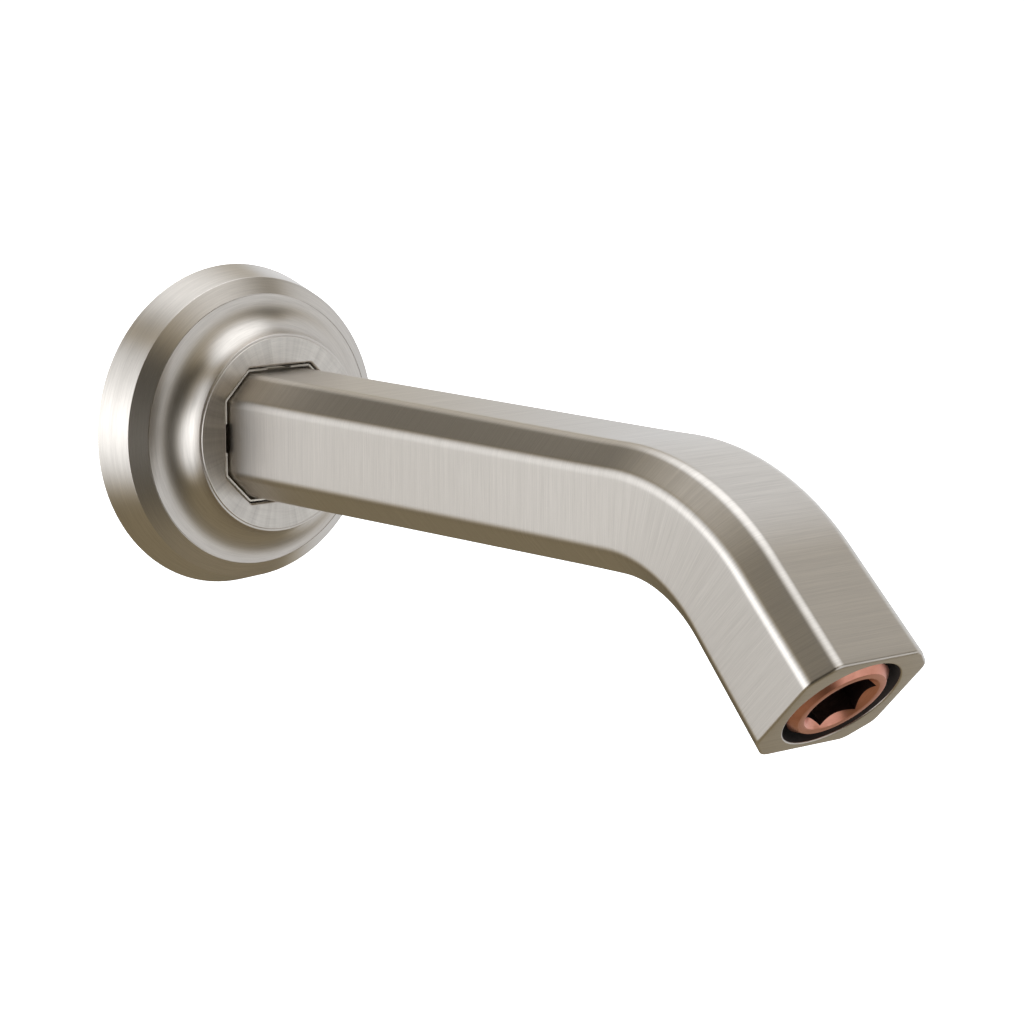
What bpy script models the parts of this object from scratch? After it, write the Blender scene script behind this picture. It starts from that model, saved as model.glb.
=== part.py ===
"""A wall mounted tub spout: a chamfered arm with a 45 degree bend, its wall flange and its inner parts.

Frame: the wall is the plane Y = 0, the straight arm runs along -Y, +Z is up, and the origin is the
centre of the flange on the wall. Depths are distances from the wall along -Y.
"""

import math

import bmesh
import bpy
from mathutils import Matrix, Vector

MM = 0.001
GAP = 0.3                    # kept between neighbours that would touch
TURN_STEPS = 40              # sides of a turned piece

# Arm. Each section is (half width, half height, chamfer), all in mm.
WALL_SECTION = (13.3, 13.5, 5.6)
BEND_SECTION = (14.1, 12.5, 4.9)
OUTLET_SECTION = (15.4, 14.0, 4.9)
STRAIGHT = 139.0             # axis length from the wall to the bend
BEND_RADIUS = 44.0
BEND_ANGLE = math.radians(45.0)
OUTLET_RUN = 25.0            # axis length from the bend to the outlet face
ARM_START = 0.8              # depth of the arm's wall end
FILLET = 3.2                 # rounding of the arm's long edges
FACE_BEVEL = 0.55
BEND_LENGTH = BEND_RADIUS * BEND_ANGLE
ARM_LENGTH = STRAIGHT + BEND_LENGTH + OUTLET_RUN

# Hollows in the arm.
WATERWAY_RADIUS = 7.5
SOCKET_RADIUS = 11.0
SOCKET_DEPTH = 46.0
OUTLET_RADIUS = 12.27
OUTLET_DEPTH = 7.5
THREAD_BORE_RADIUS = 10.95
THREAD_BORE_DEPTH = 18.0
SCREW_DEPTH = 9.0            # where the set screw stands, measured from the wall

# Flange.
FOOT_RADIUS = 35.0
FACE_DEPTH = 18.9
COVE_RADIUS = 7.6            # the hollow round the flange's boss, from its face down to the front ring
COVE_CENTRE = (29.0, 18.73)  # radius and depth
FRONT_RING = (32.72, 8.56)   # radius and depth of the edge between the sloped ring and the flank
PLATE = 1.5                  # thickness of the flange's face round its hole
HOLE_SECTION = (14.5, 14.6, 6.3)
HOLE_CORNER = 1.0

# What the flange holds: a seat with a clip groove, and rings in it from the face towards the wall.
SEAT_RADIUS = 20.3
HELD_RADIUS = 19.9           # outer radius of the rings in the seat
GROOVE_WALL = 21.6           # radius at the bottom of the clip groove
GROOVE_DEPTHS = (10.0, 11.2)
SEAL_DEPTHS = (14.8, 17.1)
RING_DEPTHS = (12.4, 14.5)
RING_HOLE_SECTION = (13.85, 13.8, 5.9)
COLLAR_WALL = 0.45
COLLAR_DEPTH = 18.3          # the collar shows in the gap between the arm and the face
NOTCH = 3.1                  # half width of the notches in the collar
WASHER_INNER = 16.0
CLIP_RADII = (18.0, 21.3)
GASKET_RADII = (31.3, 33.7)
GASKET_DEPTH = 1.6

# Shank.
SHANK_RADIUS = 10.7
SHANK_BORE = 6.4
SHANK_NOSE = 43.0
THREAD_END = -20.0
THREAD_PITCH = 1.814         # 14 threads to the inch
GROOVE_RADIUS = 8.6          # at the bottom of the set screw's groove
O_RING_DEPTHS = (22.0, 32.0)
O_RING_GROOVE = 1.7          # depth of the grooves for the seals
O_RING_THICKNESS = 0.7       # radius of a seal's round section

# Outlet insert. Its depths are measured from the outlet face, inwards.
INSERT_RADIUS = 10.64
INSERT_LIP_RADIUS = 9.2
HEX_FLATS = 12.8
INSERT_LENGTH = 16.5
INSERT_BORE = 8.6
NECK_DEPTH = 9.6             # where the narrow front of the insert's bore ends
CORE_RADIUS = 8.3            # of the pieces held in the insert's bore
CORE_DEPTHS = (9.9, 14.6)
SCREEN_DEPTHS = (14.9, 15.3)
SEAL_GROOVE = (9.3, 9.2, 11.6)   # radius and the two depths of the insert's seal groove


def clear_scene():
    for item in list(bpy.data.objects):
        bpy.data.objects.remove(item, do_unlink=True)


def collection(name):
    made = bpy.data.collections.new(name)
    bpy.context.scene.collection.children.link(made)
    return made


def material(name, color, roughness, metallic):
    made = bpy.data.materials.new(name)
    made.use_nodes = True
    shader = made.node_tree.nodes["Principled BSDF"]
    shader.inputs["Base Color"].default_value = (*color, 1.0)
    shader.inputs["Roughness"].default_value = roughness
    shader.inputs["Metallic"].default_value = metallic
    return made


def add_object(name, mesh, look, group):
    made = bpy.data.objects.new(name, mesh)
    group.objects.link(made)
    if look:
        mesh.materials.append(look)
        mesh.shade_smooth()
        mesh.set_sharp_from_angle(angle=math.radians(30))
    return made


def as_cutter(item):
    item.hide_render = True
    item.display_type = "WIRE"
    return item


def cut(item, cutter):
    modifier = item.modifiers.new("cut_" + cutter.name, "BOOLEAN")
    modifier.operation = "DIFFERENCE"
    modifier.solver = "EXACT"
    modifier.object = cutter


# Outlines ------------------------------------------------------------------------------------------


def octagon(section):
    """Corners of a chamfered rectangle, counterclockwise from the right side's upper corner."""
    half_width, half_height, chamfer = section
    w, h = half_width - chamfer, half_height - chamfer
    quarter = [(half_width, h), (w, half_height)]
    corners = list(quarter)
    corners += [(-x, z) for x, z in reversed(quarter)]
    corners += [(-x, -z) for x, z in quarter]
    corners += [(x, -z) for x, z in reversed(quarter)]
    return corners


def rounded(corners, radius, steps):
    """The same outline with every corner turned into an arc of that radius."""
    points = []
    count = len(corners)
    for i, corner in enumerate(corners):
        here = Vector(corner)
        before = (Vector(corners[i - 1]) - here).normalized()
        after = (Vector(corners[(i + 1) % count]) - here).normalized()
        half = before.angle(after) / 2
        centre = here + (before + after).normalized() * radius / math.sin(half)
        start = here + before * radius / math.tan(half) - centre
        end = here + after * radius / math.tan(half) - centre
        sweep = start.angle(end)
        for k in range(steps + 1):
            angle = sweep * k / steps
            points.append(tuple(centre + Matrix.Rotation(angle, 2) @ start))
    return points


def hexagon(flats):
    """A hexagon across those flats, with two corners on its vertical axis."""
    radius = flats / 2 / math.cos(math.radians(30))
    return [(radius * math.cos(math.radians(30 + 60 * k)), radius * math.sin(math.radians(30 + 60 * k)))
            for k in range(6)]


def circle(radius, count=24):
    return [(radius * math.cos(2 * math.pi * k / count), radius * math.sin(2 * math.pi * k / count))
            for k in range(count)]


# Solids --------------------------------------------------------------------------------------------


def loft(name, rings, look, group):
    """A closed skin through rings of as many points each, with flat ends."""
    mesh = bpy.data.meshes.new(name)
    shape = bmesh.new()
    rows = [[shape.verts.new(Vector(point) * MM) for point in ring] for ring in rings]
    count = len(rows[0])
    for low, high in zip(rows, rows[1:]):
        for k in range(count):
            shape.faces.new((low[k], low[(k + 1) % count], high[(k + 1) % count], high[k]))
    shape.faces.new(list(reversed(rows[0])))
    shape.faces.new(rows[-1])
    bmesh.ops.recalc_face_normals(shape, faces=shape.faces)
    shape.to_mesh(mesh)
    shape.free()
    return add_object(name, mesh, look, group)


def prism(name, outline, low, high, look, group):
    """An outline in X and Z, pushed along the arm from one depth to another."""
    return loft(name, [[(x, -depth, z) for x, z in outline] for depth in (low, high)], look, group)


def turned(name, profile, look, group, steps=TURN_STEPS, closed=True):
    """A Screw turns (radius, height) points, listed down the outer side, about the local Z axis."""
    mesh = bpy.data.meshes.new(name)
    edges = [(k, k + 1) for k in range(len(profile) - 1)]
    if closed:
        edges.append((len(profile) - 1, 0))
    mesh.from_pydata([(radius * MM, 0, height * MM) for radius, height in profile], edges, [])
    made = add_object(name, mesh, look, group)
    screw = made.modifiers.new("turn", "SCREW")
    screw.steps = steps
    screw.render_steps = steps
    screw.use_merge_vertices = True
    screw.merge_threshold = 0.00001
    screw.use_smooth_shade = True
    return made


def along_arm(item):
    """Turns a piece made along +Z so that its heights become depths from the wall."""
    item.rotation_euler = (math.radians(90), 0, 0)
    return item


def ring_profile(inner, outer, low, high):
    return [(outer, high), (outer, low), (inner, low), (inner, high)]


def round_ring_profile(middle, thickness, height, points=12):
    """A circular section, listed down its outer side first."""
    return [(middle + thickness * math.cos(2 * math.pi * k / points),
             height - thickness * math.sin(2 * math.pi * k / points)) for k in range(points)]


# Arm -----------------------------------------------------------------------------------------------


def arm_frame(along):
    """Point on the arm's axis, and the section's upward direction, at this distance from the wall."""
    turn = min(max((along - STRAIGHT) / BEND_RADIUS, 0.0), BEND_ANGLE)
    before = min(along, STRAIGHT)
    after = max(along - STRAIGHT - BEND_LENGTH, 0.0)
    y = -before - BEND_RADIUS * math.sin(turn) - after * math.cos(turn)
    z = -BEND_RADIUS * (1 - math.cos(turn)) - after * math.sin(turn)
    return Vector((0, y, z)), Vector((0, -math.sin(turn), math.cos(turn)))


def arm_section(along):
    """Half width, half height and chamfer, in straight changes from wall to bend to outlet."""
    if along < STRAIGHT:
        share = along / STRAIGHT
        pair = (WALL_SECTION, BEND_SECTION)
    else:
        share = (along - STRAIGHT) / (ARM_LENGTH - STRAIGHT)
        pair = (BEND_SECTION, OUTLET_SECTION)
    return tuple(a + (b - a) * share for a, b in zip(*pair))


def section_ring(along, outline):
    centre, up = arm_frame(along)
    return [centre + Vector((x, 0, 0)) + up * z for x, z in outline]


def arm_stations(start, end, bend_steps=8):
    bend = [STRAIGHT + BEND_LENGTH * k / bend_steps for k in range(bend_steps + 1)]
    return [start] + [s for s in bend if start < s < end] + [end]


def grown(section, by):
    """A section with every side moved out by that much."""
    return (section[0] + by, section[1] + by, section[2] + by * (2 - math.sqrt(2)))


def outlet_place():
    """Matrix that takes +Z to the way out of the spout, with its origin on the outlet face."""
    centre, _ = arm_frame(ARM_LENGTH)
    return Matrix.Translation(centre * MM) @ Matrix.Rotation(math.radians(90) + BEND_ANGLE, 4, "X")


def make_arm(look, group, cutters):
    outer = arm_stations(ARM_START, ARM_LENGTH - FACE_BEVEL)
    rings = [section_ring(s, rounded(octagon(arm_section(s)), FILLET, 3)) for s in outer]
    face = rounded(octagon(grown(arm_section(ARM_LENGTH), -FACE_BEVEL)), FILLET, 3)
    rings.append(section_ring(ARM_LENGTH, face))
    arm = loft("spout_arm", rings, look, group)

    way = arm_stations(SOCKET_DEPTH - 8, ARM_LENGTH - THREAD_BORE_DEPTH + 4)
    waterway = loft("waterway", [section_ring(s, circle(WATERWAY_RADIUS)) for s in way], None, cutters)
    socket_profile = [(0, SOCKET_DEPTH), (SOCKET_RADIUS, SOCKET_DEPTH), (SOCKET_RADIUS, -5), (0, -5)]
    socket = along_arm(turned("socket", socket_profile, None, cutters, closed=False))
    mouth = 5
    outlet_profile = [(0, mouth), (OUTLET_RADIUS, mouth), (OUTLET_RADIUS, -OUTLET_DEPTH),
                      (THREAD_BORE_RADIUS, -OUTLET_DEPTH), (THREAD_BORE_RADIUS, -THREAD_BORE_DEPTH),
                      (0, -THREAD_BORE_DEPTH)]
    outlet = turned("outlet_bore", outlet_profile, None, cutters, closed=False)
    outlet.matrix_world = outlet_place()
    hole_profile = [(0, -8.5), (2.6, -8.5), (2.6, -20), (0, -20)]
    hole = turned("set_screw_hole", hole_profile, None, cutters, steps=24, closed=False)
    hole.location = (0, -SCREW_DEPTH * MM, 0)
    for cutter in (waterway, socket, outlet, hole):
        cut(arm, as_cutter(cutter))
    return arm


# Flange and what it holds ------------------------------------------------------------------------


def arc(centre, radius, start, end, steps):
    """Points of an arc in (radius, height), angles in degrees."""
    turns = [math.radians(start + (end - start) * k / steps) for k in range(steps + 1)]
    return [(centre[0] + radius * math.cos(t), centre[1] + radius * math.sin(t)) for t in turns]


def flange_profile():
    """Down the outer side from the face's hole to the foot, then up the hollow inside."""
    outer = [(8.0, FACE_DEPTH), (20.75, FACE_DEPTH), (21.4, COVE_CENTRE[1] - 0.2)]
    outer += arc(COVE_CENTRE, COVE_RADIUS, 188, 270, 9)
    outer += [(COVE_CENTRE[0] + GAP, COVE_CENTRE[1] - COVE_RADIUS), FRONT_RING, (FOOT_RADIUS, GAP)]
    recess_inner, recess_outer = GASKET_RADII[0] - GAP, GASKET_RADII[1] + GAP
    recess_depth = GASKET_DEPTH + GAP
    recess = [(recess_outer, GAP), (recess_outer, recess_depth),
              (recess_inner, recess_depth), (recess_inner, GAP)]
    low, high = GROOVE_DEPTHS
    clip_groove = [(SEAT_RADIUS, low), (GROOVE_WALL, low), (GROOVE_WALL, high), (SEAT_RADIUS, high)]
    inner = [(28.8, GAP), (28.0, 7.2), (SEAT_RADIUS, 9.0)] + clip_groove
    inner += [(SEAT_RADIUS, FACE_DEPTH - PLATE), (8.0, FACE_DEPTH - PLATE)]
    return outer + recess + inner


def make_flange(look, group, cutters):
    flange = along_arm(turned("wall_flange", flange_profile(), look, group, steps=56))
    outline = rounded(octagon(HOLE_SECTION), HOLE_CORNER, 3)
    hole = prism("flange_hole", outline, FACE_DEPTH - 6, FACE_DEPTH + 4, None, cutters)
    cut(flange, as_cutter(hole))
    return flange


def make_centering_ring(look, group, cutters):
    """A round base with an octagonal collar towards the face, notched at the middle of each flat."""
    base = along_arm(turned("centering_ring", ring_profile(8, HELD_RADIUS, *RING_DEPTHS), look, group))
    outline = rounded(octagon(grown(RING_HOLE_SECTION, COLLAR_WALL)), 0.8, 2)
    collar = prism("ring_collar", outline, RING_DEPTHS[1] - 1, COLLAR_DEPTH, None, cutters)
    join = base.modifiers.new("join_collar", "BOOLEAN")
    join.operation = "UNION"
    join.object = as_cutter(collar)
    hole = prism("ring_hole", rounded(octagon(RING_HOLE_SECTION), 0.8, 2), 10, 20, None, cutters)
    cut(base, as_cutter(hole))
    for name, across, up in (("notch_flat", 25, NOTCH), ("notch_upright", NOTCH, 25)):
        outline = [(across, -up), (across, up), (-across, up), (-across, -up)]
        cut(base, as_cutter(prism(name, outline, RING_DEPTHS[1] + 0.4, 20, None, cutters)))
    return base


def make_wiper_seal(look, group, cutters):
    seal = along_arm(turned("arm_wiper_seal", ring_profile(8, HELD_RADIUS, *SEAL_DEPTHS), look, group))
    outline = rounded(octagon(grown(RING_HOLE_SECTION, COLLAR_WALL + GAP)), HOLE_CORNER, 2)
    cut(seal, as_cutter(prism("seal_hole", outline, 12, 20, None, cutters)))
    return seal


def make_backing_washer(look, group):
    """Lies between the centering ring and the retaining clip."""
    high = RING_DEPTHS[0] - GAP
    profile = ring_profile(WASHER_INNER, HELD_RADIUS, high - 0.7, high)
    return along_arm(turned("seal_backing_washer", profile, look, group))


def make_retaining_clip(look, group, cutters):
    """A split ring: its ends leave a gap at the bottom for pliers."""
    low, high = GROOVE_DEPTHS
    profile = ring_profile(*CLIP_RADII, low + 0.2, high - 0.2)
    clip = along_arm(turned("flange_retaining_clip", profile, look, group))
    outline = [(4, -30), (4, 0), (-4, 0), (-4, -30)]
    cut(clip, as_cutter(prism("clip_gap", outline, 9, 12, None, cutters)))
    return clip


def make_wall_gasket(look, group):
    return along_arm(turned("flange_wall_gasket", ring_profile(*GASKET_RADII, 0, GASKET_DEPTH), look, group))


# Shank and what seals it -------------------------------------------------------------------------


def shank_profile():
    """Down the outer side from the nose, through the seal grooves and the thread, and up the bore."""
    outer = [(SHANK_RADIUS - 1, SHANK_NOSE), (SHANK_RADIUS, SHANK_NOSE - 1)]
    for depth in reversed(O_RING_DEPTHS):
        bottom = SHANK_RADIUS - O_RING_GROOVE
        outer += [(SHANK_RADIUS, depth + 1.4), (bottom, depth + 1.4), (bottom, depth - 1.4),
                  (SHANK_RADIUS, depth - 1.4)]
    outer += [(SHANK_RADIUS, SCREW_DEPTH + 3.5), (GROOVE_RADIUS, SCREW_DEPTH + 2.5),
              (GROOVE_RADIUS, SCREW_DEPTH - 2.5), (SHANK_RADIUS, SCREW_DEPTH - 3.5),
              (SHANK_RADIUS, 2.0), (8.9, 1.2)]
    height = -0.6
    while height - THREAD_PITCH > THREAD_END:
        crest = SHANK_RADIUS + height / 32
        outer += [(crest - 1.3, height), (crest, height - THREAD_PITCH / 2)]
        height -= THREAD_PITCH
    outer += [(8.8, height), (8.8, THREAD_END)]
    return outer + [(SHANK_BORE, THREAD_END), (SHANK_BORE, SHANK_NOSE)]


def make_shank(look, group, cutters):
    shank = along_arm(turned("mounting_shank", shank_profile(), look, group, steps=32))
    key = prism("shank_key", hexagon(HEX_FLATS), SHANK_NOSE - 9, SHANK_NOSE + 3, None, cutters)
    cut(shank, as_cutter(key))
    return shank


def make_shank_o_ring(name, depth, look, group):
    middle = SHANK_RADIUS - O_RING_GROOVE + GAP + O_RING_THICKNESS
    profile = round_ring_profile(middle, O_RING_THICKNESS, depth, 6)
    return along_arm(turned(name, profile, look, group, steps=32))


def make_stop_washer(look, group):
    low = SHANK_NOSE + GAP
    profile = ring_profile(7.8, 10.6, low, SOCKET_DEPTH - GAP)
    return along_arm(turned("shank_stop_washer", profile, look, group))


def make_set_screw(look, group, cutters):
    """A headless screw under the arm, with a pointed tip and a hexagon socket from below."""
    tip, end = -9.0, -13.1
    profile = [(0, tip), (0.9, tip), (2.25, tip - 1.2), (2.25, end + 0.3), (1.95, end), (0, end)]
    screw = turned("set_screw", profile, look, group, steps=24, closed=False)
    screw.location = (0, -SCREW_DEPTH * MM, 0)
    key = turned("set_screw_key", [(0, -11), (1.44, -11), (1.44, -20), (0, -20)], None, cutters,
                 steps=6, closed=False)
    key.location = screw.location
    cut(screw, as_cutter(key))
    return screw


# Outlet ------------------------------------------------------------------------------------------


def make_insert(look, group, cutters):
    """The screwed insert: a flat lip, a chamfered nose, a seal groove and a countersunk hexagon."""
    flank = INSERT_RADIUS - INSERT_LIP_RADIUS
    bottom, low, high = SEAL_GROOVE
    outer = [(INSERT_LIP_RADIUS, 0), (INSERT_RADIUS, -flank), (INSERT_RADIUS, -low), (bottom, -low),
             (bottom, -high), (INSERT_RADIUS, -high), (INSERT_RADIUS, -INSERT_LENGTH)]
    inner = [(INSERT_BORE, -INSERT_LENGTH), (INSERT_BORE, -NECK_DEPTH), (5.6, -NECK_DEPTH), (5.6, 0)]
    insert = turned("outlet_insert", outer + inner, look, group, steps=42)
    sink = turned("insert_countersink", [(0, 1), (8.8, 1), (4.9, -2.9), (0, -2.9)], None, cutters,
                  steps=46, closed=False)
    key = loft("insert_key", [[(x, y, z) for x, y in hexagon(HEX_FLATS)] for z in (-7.0, 3.0)],
               None, cutters)
    for cutter in (sink, key):
        cutter.matrix_world = outlet_place()
        cut(insert, as_cutter(cutter))
    insert.matrix_world = outlet_place()
    return insert


def make_outlet_ring(name, profile, look, group):
    made = turned(name, profile, look, group, steps=32)
    made.matrix_world = outlet_place()
    return made


def make_straightener(look, group, cutters):
    """A round plastic core with seven parallel channels."""
    high, low = (-depth for depth in CORE_DEPTHS)
    core = turned("flow_straightener", [(0, high), (CORE_RADIUS, high), (CORE_RADIUS, low), (0, low)],
                  look, group, closed=False)
    core.matrix_world = outlet_place()
    places = [(0, 0)] + [(5.1 * math.cos(k * math.pi / 3), 5.1 * math.sin(k * math.pi / 3))
                         for k in range(6)]
    for k, (x, y) in enumerate(places):
        channel = loft("channel_%d" % k, [[(x + u, y + v, z) for u, v in hexagon(4.0)]
                                         for z in (low - 1, high + 1)], None, cutters)
        channel.matrix_world = outlet_place()
        cut(core, as_cutter(channel))
    return core


def make_screen(look, group, cutters):
    """A thin disc with square openings, as a coarse stand-in for the woven mesh."""
    high, low = (-depth for depth in SCREEN_DEPTHS)
    screen = turned("straightener_screen", [(0, high), (CORE_RADIUS, high), (CORE_RADIUS, low), (0, low)],
                    look, group, steps=32, closed=False)
    screen.matrix_world = outlet_place()
    pitch, hole = 2.6, 0.95
    for row in range(-2, 3):
        for column in range(-2, 3):
            x, y = row * pitch, column * pitch
            if math.hypot(x, y) > 6.5:
                continue
            corners = [(x + hole, y + hole), (x - hole, y + hole), (x - hole, y - hole),
                       (x + hole, y - hole)]
            opening = loft("mesh_%d_%d" % (row, column),
                           [[(u, v, z) for u, v in corners] for z in (low - 1, high + 1)], None, cutters)
            opening.matrix_world = outlet_place()
            cut(screen, as_cutter(opening))
    return screen


def build():
    clear_scene()
    group = collection("wall_mounted_tub_spout")
    cutters = collection("cutters")

    nickel = material("brushed_nickel", (0.62, 0.58, 0.52), 0.34, 1.0)
    copper = material("copper_finish", (0.72, 0.38, 0.28), 0.35, 1.0)
    brass = material("brass", (0.78, 0.60, 0.30), 0.35, 1.0)
    steel = material("stainless_steel", (0.60, 0.60, 0.60), 0.3, 1.0)
    rubber = material("black_rubber", (0.02, 0.02, 0.02), 0.7, 0.0)
    foam = material("grey_foam", (0.2, 0.2, 0.2), 0.9, 0.0)
    nylon = material("light_nylon", (0.75, 0.72, 0.66), 0.45, 0.0)
    fibre = material("red_fibre", (0.45, 0.12, 0.07), 0.8, 0.0)

    make_arm(nickel, group, cutters)
    make_flange(nickel, group, cutters)
    make_centering_ring(nylon, group, cutters)
    make_wiper_seal(rubber, group, cutters)
    make_backing_washer(steel, group)
    make_retaining_clip(steel, group, cutters)
    make_wall_gasket(foam, group)

    make_shank(brass, group, cutters)
    for name, depth in zip(("shank_o_ring_rear", "shank_o_ring_front"), O_RING_DEPTHS):
        make_shank_o_ring(name, depth, rubber, group)
    make_stop_washer(fibre, group)
    make_set_screw(steel, group, cutters)

    make_insert(copper, group, cutters)
    make_outlet_ring("insert_o_ring", round_ring_profile(10.15, 0.5, -10.4, 6), rubber, group)
    seat = ring_profile(8.8, 10.6, -THREAD_BORE_DEPTH + GAP, -INSERT_LENGTH - GAP)
    make_outlet_ring("insert_seat_washer", seat, fibre, group)
    make_straightener(nylon, group, cutters)
    make_screen(steel, group, cutters)
    retainer = ring_profile(7.2, CORE_RADIUS, -INSERT_LENGTH + 0.1, -SCREEN_DEPTHS[1] - GAP)
    make_outlet_ring("screen_retainer", retainer, steel, group)


build()
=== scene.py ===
"""Looks of the wall mounted tub spout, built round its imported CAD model.

Sizes below are in millimetres and repeat the CAD model's. Depths are distances from the wall along -Y.
"""
import math

import bmesh
import bpy
from mathutils import Matrix, Vector


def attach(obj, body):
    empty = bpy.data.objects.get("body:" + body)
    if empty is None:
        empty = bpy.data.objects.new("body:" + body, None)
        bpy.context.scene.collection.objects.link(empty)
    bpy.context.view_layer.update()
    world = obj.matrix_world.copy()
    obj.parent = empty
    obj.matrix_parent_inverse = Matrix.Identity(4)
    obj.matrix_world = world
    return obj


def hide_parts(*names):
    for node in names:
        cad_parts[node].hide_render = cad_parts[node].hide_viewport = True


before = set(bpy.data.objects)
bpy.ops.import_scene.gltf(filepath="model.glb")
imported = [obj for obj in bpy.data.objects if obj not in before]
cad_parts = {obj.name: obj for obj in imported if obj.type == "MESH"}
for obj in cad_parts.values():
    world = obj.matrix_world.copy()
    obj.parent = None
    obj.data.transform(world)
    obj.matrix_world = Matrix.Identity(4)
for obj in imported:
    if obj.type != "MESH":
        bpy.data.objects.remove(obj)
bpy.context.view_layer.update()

MM = 0.001

# Arm: half width, half height and chamfer of its section at three places.
WALL_SECTION = (13.3, 13.5, 5.6)
BEND_SECTION = (14.1, 12.5, 4.9)
OUTLET_SECTION = (15.4, 14.0, 4.9)
STRAIGHT = 139.0
BEND_RADIUS = 44.0
BEND_ANGLE = math.radians(45.0)
BEND_LENGTH = BEND_RADIUS * BEND_ANGLE
ARM_LENGTH = STRAIGHT + BEND_LENGTH + 25.0
ARM_START = 0.8
FILLET = 3.2
FACE_BEVEL = 0.55
HOLE_EDGE = 0.3
EASE = 14.0                 # length over which the section's taper changes at the start of the bend

# Hollows in the arm.
WATERWAY_RADIUS = 7.5
SOCKET_RADIUS = 11.0
SOCKET_DEPTH = 46.0
OUTLET_RADIUS = 12.27
OUTLET_DEPTH = 7.5
THREAD_BORE_RADIUS = 10.95
THREAD_BORE_DEPTH = 18.0
SCREW_DEPTH = 9.0            # of the set screw in its hole under the arm
SCREW_HOLE_RADIUS = 2.6

# Flange.
FOOT_RADIUS = 35.0
FACE_DEPTH = 18.9
PLATE = 1.5
FRONT_RING = (32.72, 8.56)
SEAT_RADIUS = 20.3
HOLE_SECTION = (14.5, 14.6, 6.3)
HOLE_CORNER = 1.0
FACE_EDGE = 0.45
GROOVE_WALL = 21.6
GROOVE_DEPTHS = (10.0, 11.2)
COVE_RADIUS = 7.6
COVE_CENTRE = (29.0, 18.73)

# What the flange holds; HELD_RADIUS is that of every piece that fits its seat.
HELD_RADIUS = 19.9
RING_DEPTHS = (12.4, 14.5)
RING_HOLE_SECTION = (13.85, 13.8, 5.9)
COLLAR_WALL = 0.45
COLLAR_DEPTH = 18.3
NOTCH = 3.1
SEAL_DEPTHS = (14.8, 17.1)
WASHER_INNER = 16.0
CLIP_RADII = (18.0, 21.3)
GASKET_RADII = (31.3, 33.7)
GASKET_DEPTH = 1.6

# Shank.
SHANK_RADIUS = 10.7
SHANK_BORE = 6.4
SHANK_NOSE = 43.0
THREAD_END = -20.0
THREAD_PITCH = 1.814
GROOVE_RADIUS = 8.6
O_RING_DEPTHS = (22.0, 32.0)
O_RING_GROOVE = 1.7
O_RING_THICKNESS = 0.7

# Outlet insert; its depths are measured from the outlet face, inwards.
INSERT_RADIUS = 10.64
INSERT_LIP_RADIUS = 9.2
HEX_FLATS = 12.8
INSERT_LENGTH = 16.5
INSERT_BORE = 8.6
NECK_DEPTH = 9.6
SEAL_GROOVE = (9.3, 9.2, 11.6)
CORE_RADIUS = 8.3
CORE_DEPTHS = (9.9, 14.6)
SCREEN_DEPTHS = (14.9, 15.3)

ROUND = 144                 # points round the fine rings
SIDES = 128                 # sides of the fine turned pieces


# Materials -----------------------------------------------------------------------------------------


class Nodes:
    """A material's node tree, with short calls for the nodes that the materials here share."""

    def __init__(self, name):
        self.material = bpy.data.materials.new(name)
        self.material.use_nodes = True
        self.tree = self.material.node_tree
        self.shader = self.tree.nodes["Principled BSDF"]

    def add(self, kind, **settings):
        made = self.tree.nodes.new(kind)
        for name, value in settings.items():
            setattr(made, name, value)
        return made

    def feed(self, node, socket, value):
        target = node.inputs[socket]
        if isinstance(value, bpy.types.NodeSocket):
            self.tree.links.new(value, target)
        else:
            target.default_value = value

    def math(self, operation, *values):
        node = self.add("ShaderNodeMath", operation=operation)
        for k, value in enumerate(values):
            self.feed(node, k, value)
        return node.outputs[0]

    def vector(self, x, y, z):
        node = self.add("ShaderNodeCombineXYZ")
        for k, value in enumerate((x, y, z)):
            self.feed(node, k, value)
        return node.outputs[0]

    def noise(self, where, scale=1.0, detail=3.0, roughness=0.6):
        node = self.add("ShaderNodeTexNoise")
        self.feed(node, "Vector", where)
        self.feed(node, "Scale", scale)
        self.feed(node, "Detail", detail)
        self.feed(node, "Roughness", roughness)
        return node.outputs["Fac"]

    def remap(self, value, low, high, start=0.0, end=1.0):
        node = self.add("ShaderNodeMapRange")
        self.feed(node, "Value", value)
        for socket, number in zip(("From Min", "From Max", "To Min", "To Max"), (start, end, low, high)):
            self.feed(node, socket, number)
        return node.outputs["Result"]

    def blend(self, factor, first, second):
        node = self.add("ShaderNodeMix", data_type="RGBA")
        self.feed(node, 0, factor)
        self.feed(node, 6, (*first, 1.0))
        self.feed(node, 7, (*second, 1.0))
        return node.outputs[2]

    def bump(self, height, distance, strength=1.0):
        node = self.add("ShaderNodeBump")
        self.feed(node, "Height", height)
        self.feed(node, "Distance", distance)
        self.feed(node, "Strength", strength)
        self.feed(self.shader, "Normal", node.outputs["Normal"])

    def surface(self, **values):
        for name, value in values.items():
            self.feed(self.shader, name.replace("_", " "), value)
        return self.material


def object_axes(nodes):
    split = nodes.add("ShaderNodeSeparateXYZ")
    nodes.feed(split, 0, nodes.add("ShaderNodeTexCoord").outputs["Object"])
    return split.outputs


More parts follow.
